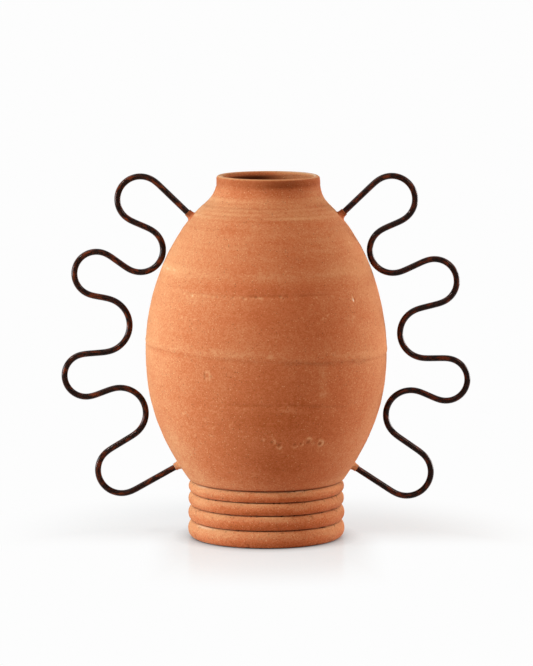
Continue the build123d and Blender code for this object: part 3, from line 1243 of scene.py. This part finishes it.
@dataclass
class CoilFoot:
    """Foot of rolled clay coils pressed down on each other, with light painted on their tops and shade in the
    creases.
    """

    heights: tuple[float, ...] = (17.8, 15.4, 13.8, 12.0)
    radii: tuple[float, ...] = (81.4, 81.2, 80.9, 80.9)
    inner_radius: float = 64.0
    crease: float = 5.4
    ground_round: float = 6.7
    fullness: float = 2.0
    bed_steps: Span = (5.0, 12.0)
    columns: int = 540
    face_rows: int = 30
    groove_drift: float = 0.45
    groove_ring: Span = (70.0, 40.0)
    roll_drift: float = 0.18
    roll_ring: Span = (80.0, 30.0)
    rim_share: float = 0.999
    edged: Span = (0.55, 0.95)
    pitted: Span = (0.45, 0.75)
    smeared: Span = (0.55, 0.85)
    lit_edge_end: Span = (0.95, 1.0)
    dusted_and_lit: Span = (-0.45, 0.65)
    shaded_creases: Span = (0.86, 0.99)
    lit_sides: tuple[tuple[float, float, float], ...] = ((-80.0, 44.0, 1.0), (72.0, 32.0, 0.85))
    grit_rise: float = 0.10
    pit_rise: float = -0.45
    knead_rise: float = 0.10
    bare_bloom: float = -0.21
    lit_side_paleness: float = 0.46
    top_dust_and_light: float = 0.60
    lit_side_top_loss: float = 0.38
    patch_bloom: float = 0.07
    lit_edge_paleness: float = 0.14
    patchy_lit_edge: float = 0.25
    pit_soil: float = 0.6
    crease_shade: float = 0.8
    lit_crease_loss: float = 0.85

    def __post_init__(self) -> None:
        """Seeds the unevenness of the rolling."""
        self.rolls, self.kneads = HandNoise(31, (36.0, 36.0, 30.0)), HandNoise(31, (9.0, 9.0, 5.0))
        self.patches, self.drift = HandNoise(31, (26.0, 26.0, 8.0), 200.0), HandNoise(32, (38.0, 38.0, 40.0))
        self.grit, self.pits = HandNoise(33, (1.9, 1.9, 1.9)), HandNoise(33, (2.6, 2.6, 2.2), 70.0)
        self.azimuth = np.linspace(-180, 180, self.columns, endpoint=False)

    def groove(self, number: int) -> np.ndarray:
        """Height of a join between two coils.

        Args:
            number: how many coils are under it
        Returns:
            its height at each column
        """
        height = sum(self.heights[:number])
        if number in (0, len(self.heights)):
            return np.full(self.columns, float(height))
        radius, step = self.groove_ring
        return height + self.groove_drift * self.drift.at(ring_places(self.azimuth, radius, step * number))

    def coil(self, number: int) -> Sheet:
        """Surface of one coil.

        Args:
            number: which coil, counted from the ground
        Returns:
            its surface, from the inside under it and round its face to the inside above it
        """
        low, high = self.groove(number), self.groove(number + 1)
        half, middle = (high - low) / 2, (high + low) / 2
        radius, step = self.roll_ring
        drift = self.roll_drift * self.rolls.at(ring_places(self.azimuth, radius, step * number))
        swing = np.linspace(-math.pi / 2, math.pi / 2, self.face_rows)[:, None]
        power = 2 / self.fullness
        depth = np.where((swing < 0) & (number == 0), self.ground_round, self.crease)
        face = self.radii[number] + drift - depth * (1 - np.cos(swing) ** power)
        rise = middle + half * np.sign(swing) * np.abs(np.sin(swing)) ** power
        steps = -np.array(self.bed_steps)[:, None]
        top, bottom = face[-1:] + steps, face[:1] + steps[::-1]
        top[-1], bottom[0] = self.inner_radius, self.inner_radius
        radii = np.concatenate([bottom, face, top])
        heights = np.concatenate([low + 0 * bottom, rise, high + 0 * top])
        places = ring_places(self.azimuth, radii, heights)
        share = np.concatenate([0 * bottom - 1, np.broadcast_to(np.sin(swing), face.shape), 0 * top + 1])
        notes = self.notes(places, share)
        outward = notes.pop("rise") * (np.abs(share) < self.rim_share)
        return Sheet(places + ring_places(self.azimuth, outward, 0.0), notes)

    def notes(self, places: np.ndarray, share: np.ndarray) -> dict[str, np.ndarray]:
        """Marks a coil's face, painting light on its tops, upper edges and lit sides, and shade in its
        creases.

        Args:
            places: points of the coil
            share: -1 at its lower edge to 1 at its upper
        Returns:
            arrays named rise, in millimetres, bloom_and_light and soil_and_shade
        """
        edge = smooth_step(*self.edged, np.abs(share))
        pits = smooth_step(*self.pitted, self.pits.at(places)) * (0.25 + 0.75 * edge)
        # The upper edge of each coil is painted paler as a highlight
        smear = smooth_step(*self.smeared, share) * (1 - smooth_step(*self.lit_edge_end, share))
        patches = self.patches.at(places)
        # The top of each coil is painted paler, partly dust and partly light from above
        dust_and_light = smooth_step(*self.dusted_and_lit, share + 0.25 * patches)
        # Painted light on the sides where the side lamps fall
        side_light = sum(strength * bell(self.azimuth - side, half) for side, half, strength in self.lit_sides)
        rise = self.grit_rise * self.grit.at(places) + self.pit_rise * pits
        rise = rise + self.knead_rise * self.kneads.at(places)
        bloom_and_light = self.bare_bloom + self.lit_side_paleness * side_light
        bloom_and_light = bloom_and_light + (self.top_dust_and_light - self.lit_side_top_loss * side_light) * dust_and_light
        bloom_and_light = bloom_and_light + self.patch_bloom * patches + smear * (self.lit_edge_paleness + self.patchy_lit_edge * patches)
        # The creases are painted dark as shade, less so on the lit sides
        shown = 1 - self.lit_crease_loss * np.minimum(side_light, 1.0)
        crease = smooth_step(*self.shaded_creases, np.abs(share)) * shown
        soil_and_shade = self.pit_soil * pits + self.crease_shade * crease
        return {"rise": rise, "bloom_and_light": np.clip(bloom_and_light, -0.3, 1), "soil_and_shade": np.clip(soil_and_shade, 0, 1)}

    def build(self, clay: Material) -> None:
        """Builds the coils and dresses them.

        Args:
            clay: finish of the fired clay
        """
        for number in range(len(self.heights)):
            piece = closed_mesh(f"clay_coil_{number + 1}", self.coil(number), Closing.LOOP)
            dress(piece, clay, f"foot_coil_{number + 1}")


@dataclass(frozen=True)
class Collar:
    """Clay drawn up round one end of a rod."""

    tip: float
    skirt: float
    stain: float
    bloom_and_light: float
    seed: int
    length: float = 5.8
    root: float = 2.5
    bore: float = 3.35
    sides: int = 64
    flare_rows: int = 22
    knead_size: float = 2.4
    knead_ring: float = 5.0
    knead_swell: float = 0.10
    knead_lift: float = 0.5
    lifted: float = 2.0
    bevel: float = 0.3
    sunk: float = 0.3
    stain_from: float = 0.5
    stain_full: float = 1.0


COLLARS = {
    Level.UPPER: Collar(tip=4.05, skirt=7.4, stain=0.6, bloom_and_light=0.02, seed=61),
    Level.LOWER: Collar(tip=3.8, skirt=7.6, stain=0.1, bloom_and_light=0.5, seed=62),
}
Peg = tuple[complex, float, int]


@dataclass
class Handle:
    """One bent rod with the clay collars round its ends."""

    side: Side
    upper_end: Span
    lower_end: Span
    pegs: tuple[tuple[float, float, float], ...]
    rod_radius: float = 3.22
    rod_depth: float = 5.4
    rod_sides: int = 24
    waver: float = 0.02
    pattern_shift: float = 100.0
    step: float = 1.2
    easing: int = 24
    arc_points: int = 60
    wall_search: Span = (-8.0, 20.0)
    halvings: int = 30

    def tangent(self, start: Peg, end: Peg) -> tuple[complex, complex]:
        """Straight run between two pegs.

        Args:
            start: centre, radius and turn of the first
            end: those of the second
        Returns:
            the two ends of the run
        """
        (centre_1, radius_1, turn_1), (centre_2, radius_2, turn_2) = start, end
        gap = centre_2 - centre_1
        lean = (turn_2 * radius_2 - turn_1 * radius_1) / abs(gap)
        normal = gap / abs(gap) * (lean + 1j * math.sqrt(1 - lean**2))
        return centre_1 - turn_1 * radius_1 * normal, centre_2 - turn_2 * radius_2 * normal

    def path(self) -> np.ndarray:
        """Middle line of the rod, bent round its pegs.

        Returns:
            points as complex x + zi, in even steps
        """
        turns = [-self.side.value * (-1) ** index for index in range(len(self.pegs))]
        eased = self.easing * self.step**2 / 4
        bends = [
            (complex(x, z), radius + eased / radius, turn) for (x, z, radius), turn in zip(self.pegs, turns)
        ]
        stops = [(complex(*self.upper_end), 0.0, 1), *bends, (complex(*self.lower_end), 0.0, 1)]
        runs = [self.tangent(*pair) for pair in zip(stops, stops[1:])]
        line = [np.array(runs[0])]
        for (centre, radius, turn), (_, arrive), (leave, onward) in zip(bends, runs, runs[1:]):
            first = cmath.phase(arrive - centre)
            swept = (turn * (cmath.phase(leave - centre) - first)) % (2 * math.pi)
            turned = first + turn * np.linspace(0, swept, self.arc_points)[1:]
            line += [centre + radius * np.exp(1j * turned), np.array([onward])]
        points = np.concatenate(line)
        lengths = np.concatenate([[0], np.cumsum(np.abs(np.diff(points)))])
        even = np.linspace(0, lengths[-1], round(lengths[-1] / self.step))
        line = np.interp(even, lengths, points.real) + 1j * np.interp(even, lengths, points.imag)
        for _ in range(self.easing):
            line[1:-1] = (line[:-2] + 2 * line[1:-1] + line[2:]) / 4
        return line

    def rod(self) -> Sheet:
        """Surface of the rod, with the slight waver of bent bar.

        Returns:
            the surface, with a note of the place round and along the bar in metres
        """
        line = self.path()
        forward = np.gradient(line)
        aside = 1j * forward / np.abs(forward)
        around = np.linspace(0, 2 * math.pi, self.rod_sides, endpoint=False)
        length = np.concatenate([[0], np.cumsum(np.abs(np.diff(line)))])[:, None]
        ring = self.rod_radius * np.cos(around), self.rod_radius * np.sin(around)
        circle = np.stack(np.broadcast_arrays(*ring, length), -1)
        radius = self.rod_radius + self.waver * HandNoise(51, (5.0, 5.0, 7.0)).at(circle)
        out = radius * np.cos(around) * aside[:, None]
        middle = line[:, None] + out
        places = np.stack([middle.real, -radius * np.sin(around), middle.imag], -1)
        return Sheet(places, {"along": (circle + self.pattern_shift * self.side.value) / METRE})

    def collar(self, level: Level, outside: Run) -> Sheet:
        """Surface of the clay drawn up round one end of the rod.

        Args:
            level: which end
            outside: outer line of the wall that the collar stands on
        Returns:
            the collar, dipping just under the wall's surface
        """
        clay = COLLARS[level]
        line = self.path()
        line = line if level is Level.UPPER else line[::-1]
        ahead = (line[1] - line[0]) / abs(line[1] - line[0])
        origin, axis = np.array((line[0].real, 0, line[0].imag)), np.array((ahead.real, 0, ahead.imag))
        across, toward = np.array((-ahead.imag, 0, ahead.real)), np.array((0, -1.0, 0))
        around = np.linspace(0, 2 * math.pi, clay.sides, endpoint=False)
        ray = np.cos(around)[:, None] * across + np.sin(around)[:, None] * toward
        tip, root = self.rod_depth + clay.length, self.rod_depth - clay.root
        handles = (
            (clay.tip, tip), (clay.tip, self.rod_depth),
            (clay.skirt - clay.root, self.rod_depth), (clay.skirt + clay.root, root),
        )
        flare = bezier(*(np.array(handle) for handle in handles))[:: CURVE_POINTS // clay.flare_rows]
        bore = np.array([(clay.bore, root), (clay.bore, tip - clay.bevel)])
        section = np.concatenate([flare, bore])
        knead = HandNoise(clay.seed, (clay.knead_size,) * 3).at(clay.knead_ring * ray + origin)
        radius = section[:, :1] * (1 + clay.knead_swell * knead * (section[:, :1] > clay.bore))
        reach = section[:, 1:] + clay.knead_lift * knead * (section[:, 1:] > tip - clay.lifted)
        wall = self.wall_depth(origin, axis, radius[..., None] * ray, outside)
        reach = np.maximum(reach, wall - clay.sunk)
        places = origin + reach[..., None] * axis + radius[..., None] * ray
        near_tip = smooth_step(self.rod_depth - clay.stain_from, tip - clay.stain_full, reach)
        stain = np.clip(clay.stain * near_tip * (0.8 + 0.4 * knead), 0, 1)
        return Sheet(places[::-1], {"bloom_and_light": np.full(stain.shape, clay.bloom_and_light), "soil_and_shade": stain[::-1]})

    def wall_depth(
        self, origin: np.ndarray, axis: np.ndarray, offset: np.ndarray, outside: Run
    ) -> np.ndarray:
        """Finds where lines beside the rod come out of the wall, by halving.

        Args:
            origin: end of the rod
            axis: its direction
            offset: how far beside the rod each line runs
            outside: outer line of the wall
        Returns:
            distance along the rod, for each line
        """
        low, high = (np.full(offset.shape[:-1], end) for end in self.wall_search)
        for _ in range(self.halvings):
            middle = (low + high) / 2
            place = origin + middle[..., None] * axis + offset
            edge = np.interp(place[..., 2], outside.points[:, 1], outside.points[:, 0])
            out = np.hypot(place[..., 0], place[..., 1]) > edge
            low, high = np.where(out, low, middle), np.where(out, middle, high)
        return high

    def build(self, steel: Material, clay: Material, outside: Run) -> None:
        """Builds the rod and its collars and dresses them.

        Args:
            steel: finish of the rod
            clay: finish of the collars
            outside: outer line of the wall that they stand on
        """
        name = self.side.name.lower()
        dress(closed_mesh(f"{name}_wavy_rod", self.rod(), Closing.POLES), steel, f"{name}_handle")
        for level in Level:
            piece = closed_mesh(f"{name}_{level.value}_collar", self.collar(level, outside), Closing.LOOP)
            dress(piece, clay, f"{name}_{level.value}_socket")


HANDLES = (
    Handle(Side.LEFT, (-73.3, 330.3), (-85.2, 77.7), (
        (-129.8, 351.5, 23.8), (-130.1, 299.5, 23.4), (-175.6, 274.5, 22.8), (-169.7, 221.0, 28.2),
        (-187.0, 168.4, 22.2), (-151.6, 129.0, 26.5), (-150.6, 69.2, 24.4),
    )),
    Handle(Side.RIGHT, (72.5, 331.3), (84.8, 77.1), (
        (129.2, 351.7, 24.2), (130.8, 299.2, 23.9), (173.7, 266.5, 23.2), (164.6, 212.7, 26.1),
        (186.4, 164.1, 22.1), (150.0, 127.1, 25.8), (146.1, 67.1, 25.0),
    )),
)


@dataclass(frozen=True)
class SoftBox:
    """A soft studio light that faces the jar, sizes in metres."""

    name: str
    azimuth: float
    elevation: float
    width: float
    height: float
    watts: float
    colour: str = "#FFFFFF"
    distance: float = 1.6
    aim_height: float = 0.2

    def place(self) -> None:
        """Puts the light where it stands."""
        data = bpy.data.lights.new(self.name, "AREA")
        data.shape, data.size, data.size_y = "RECTANGLE", self.width, self.height
        data.energy, data.color = self.watts, linear(self.colour)[:3]
        lamp = bpy.data.objects.new(self.name, data)
        angle, tilt = math.radians(self.azimuth), math.radians(self.elevation)
        lamp.location = (
            self.distance * math.sin(angle) * math.cos(tilt),
            -self.distance * math.cos(angle) * math.cos(tilt),
            self.aim_height + self.distance * math.sin(tilt),
        )
        lamp.rotation_euler = (math.pi / 2 - tilt, 0, angle)
        bpy.context.scene.collection.objects.link(lamp)


@dataclass(frozen=True)
class Studio:
    """Pale floor, soft boxes and the camera, in metres."""

    lights: tuple[SoftBox, ...] = (
        SoftBox("left_soft_box", -78.0, 4.0, 0.9, 0.6, 25.9, "#DCF4FF"),
        SoftBox("high_left_soft_box", -60.0, 36.0, 0.2, 0.2, 10.0, "#F6F8F4"),
        SoftBox("right_soft_box", 115.0, 6.0, 0.9, 0.8, 22.0),
        SoftBox("high_right_soft_box", 56.0, 36.0, 0.45, 0.45, 8.5, "#FFEFE0"),
        SoftBox("front_soft_box", -10.0, 32.0, 0.9, 0.9, 3.1, "#FFEFDC"),
        SoftBox("top_soft_box", -86.0, 60.0, 0.7, 0.7, 5.0),
    )
    white: float = 0.982
    floor_half: float = 3.0
    floor_drop: float = 0.0002
    glows: tuple[Span, ...] = ((0.02, 0.46), (0.25, 0.22))
    floor_shade: str = "#868686"
    floor_bounce: str = "#E6E6E6"
    shadow_reach: Span = (0.15, 0.31)
    clear_sides: Span = (0.083, 0.125)
    clear_front: Span = (0.055, -0.075)
    gloss_share: float = 0.12
    gloss_roughness: float = 0.2
    camera_place: tuple[float, float, float] = (0.0002, -4.0, 0.715)
    camera_pitch: float = 7.157
    camera_far: float = 20.0
    focal_pixels: float = 3893.0
    image_height: int = 666
    sensor: float = 36.0

    def seen(self, tree: Tree) -> Socket:
        """Tells what is looked at from what lights the jar.

        Args:
            tree: node tree that takes the nodes
        Returns:
            1 where the camera, a gloss or glass looks, and 0 for light on its way to the jar
        """
        rays = add_node(tree, "LightPath").node.outputs
        seen = rays["Is Camera Ray"]
        for ray in ("Is Glossy Ray", "Is Transmission Ray"):
            seen = add_node(tree, "Math", {0: seen, 1: rays[ray]}, operation="MAXIMUM")
        return seen

    def world(self) -> None:
        """White where the camera or a gloss looks past the jar, with no light of its own on it."""
        world = bpy.data.worlds.new("studio")
        world.use_nodes = True
        bpy.context.scene.world = world
        tree = world.node_tree
        strength = add_node(tree, "Math", {0: self.seen(tree), 1: self.white}, operation="MULTIPLY")
        fill(tree, tree.nodes["Background"], {"Color": WHITE, "Strength": strength})

    def cleared(self, tree: Tree) -> Socket:
        """Share of plain white on the floor, away from the jar's shadow.

        Args:
            tree: node tree that takes the nodes
        Returns:
            0 in the shadow, and 1 far off and beside the foot at the front
        """
        place = add_node(tree, "TexCoord", out="Object")
        away = add_node(tree, "VectorMath", {0: place}, out="Value", operation="LENGTH")
        parts = add_node(tree, "SeparateXYZ", {"Vector": place}).node.outputs
        aside = add_node(tree, "Math", {0: parts["X"]}, operation="ABSOLUTE")
        far, beside, before = (
            add_node(tree, "MapRange", {"Value": distance, "From Min": start, "From Max": full},
                     interpolation_type="SMOOTHSTEP")
            for distance, (start, full) in (
                (away, self.shadow_reach), (aside, self.clear_sides), (parts["Y"], self.clear_front),
            )
        )
        beside = add_node(tree, "Math", {0: beside, 1: before}, operation="MULTIPLY")
        return add_node(tree, "Math", {0: far, 1: beside}, operation="MAXIMUM")

    def floor(self) -> None:
        """Pale sheet that glows white to the camera, keeps the jar's shadow, part of it painted, and mirrors
        it faintly.
        """
        half, drop = self.floor_half, -self.floor_drop
        mesh = bpy.data.meshes.new("studio_floor")
        corners = [(-half, -half, drop), (half, -half, drop), (half, half, drop), (-half, half, drop)]
        mesh.from_pydata(corners, [], [(0, 1, 2, 3)])
        floor = bpy.data.objects.new("studio_floor", mesh)
        bpy.context.scene.collection.objects.link(floor)
        finish = blank_finish("pale_studio_sheet")
        mesh.materials.append(finish)
        tree = finish.node_tree
        tree.nodes.remove(tree.nodes["Principled BSDF"])
        # The glow dims near the jar by occlusion, a painted shadow round the foot
        glow = 0.0
        for distance, share in self.glows:
            open_air = add_node(tree, "AmbientOcclusion", {"Distance": distance}, out="AO")
            glow = add_node(tree, "Math", {0: open_air, 1: share, 2: glow}, operation="MULTIPLY_ADD")
        glow = add_node(tree, "Emission", {"Color": WHITE, "Strength": glow})
        shade = add_node(tree, "BsdfDiffuse", {"Color": linear(self.floor_shade)})
        gloss = add_node(tree, "BsdfGlossy", {"Roughness": self.gloss_roughness})
        sheet = add_node(tree, "MixShader", {0: self.gloss_share, 1: shade, 2: gloss})
        sheet = add_node(tree, "AddShader", {0: glow, 1: sheet})
        blank = add_node(tree, "Emission", {"Color": WHITE, "Strength": self.white})
        sheet = add_node(tree, "MixShader", {0: self.cleared(tree), 1: sheet, 2: blank})
        bounce = add_node(tree, "BsdfDiffuse", {"Color": linear(self.floor_bounce)})
        shown = add_node(tree, "MixShader", {0: self.seen(tree), 1: bounce, 2: sheet})
        fill(tree, tree.nodes["Material Output"], {"Surface": shown})

    def camera(self) -> None:
        """Long lens, well back, looking a little down."""
        data = bpy.data.cameras.new("camera")
        data.sensor_fit, data.sensor_height = "VERTICAL", self.sensor
        data.lens = self.focal_pixels * self.sensor / self.image_height
        data.clip_end = self.camera_far
        camera = bpy.data.objects.new("camera", data)
        camera.location = self.camera_place
        camera.rotation_euler = (math.radians(90 - self.camera_pitch), 0, 0)
        bpy.context.scene.collection.objects.link(camera)
        bpy.context.scene.camera = camera

    def build(self) -> None:
        """Sets up everything round the jar."""
        bpy.context.scene.view_settings.view_transform = "Standard"
        self.world()
        self.floor()
        self.camera()
        for light in self.lights:
            light.place()


def main() -> None:
    """Builds the jar from its foot up, then the studio round it."""
    logging.basicConfig(level=logging.INFO, format="%(message)s")
    clay, steel = Terracotta().material(), BrownedSteel().material()
    cement = BeddingCement().material()
    CoilFoot().build(clay)
    body = JarBody()
    body.build(clay)
    for handle in HANDLES:
        handle.build(steel, clay, body.outside)
    for name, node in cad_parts.items():
        if name.endswith("_bedding"):
            node.data.materials.clear()
            node.data.materials.append(cement)
            log.info("%s keeps its solid", name)
    Studio().build()
    bpy.context.view_layer.update()


if __name__ == "__main__":
    main()
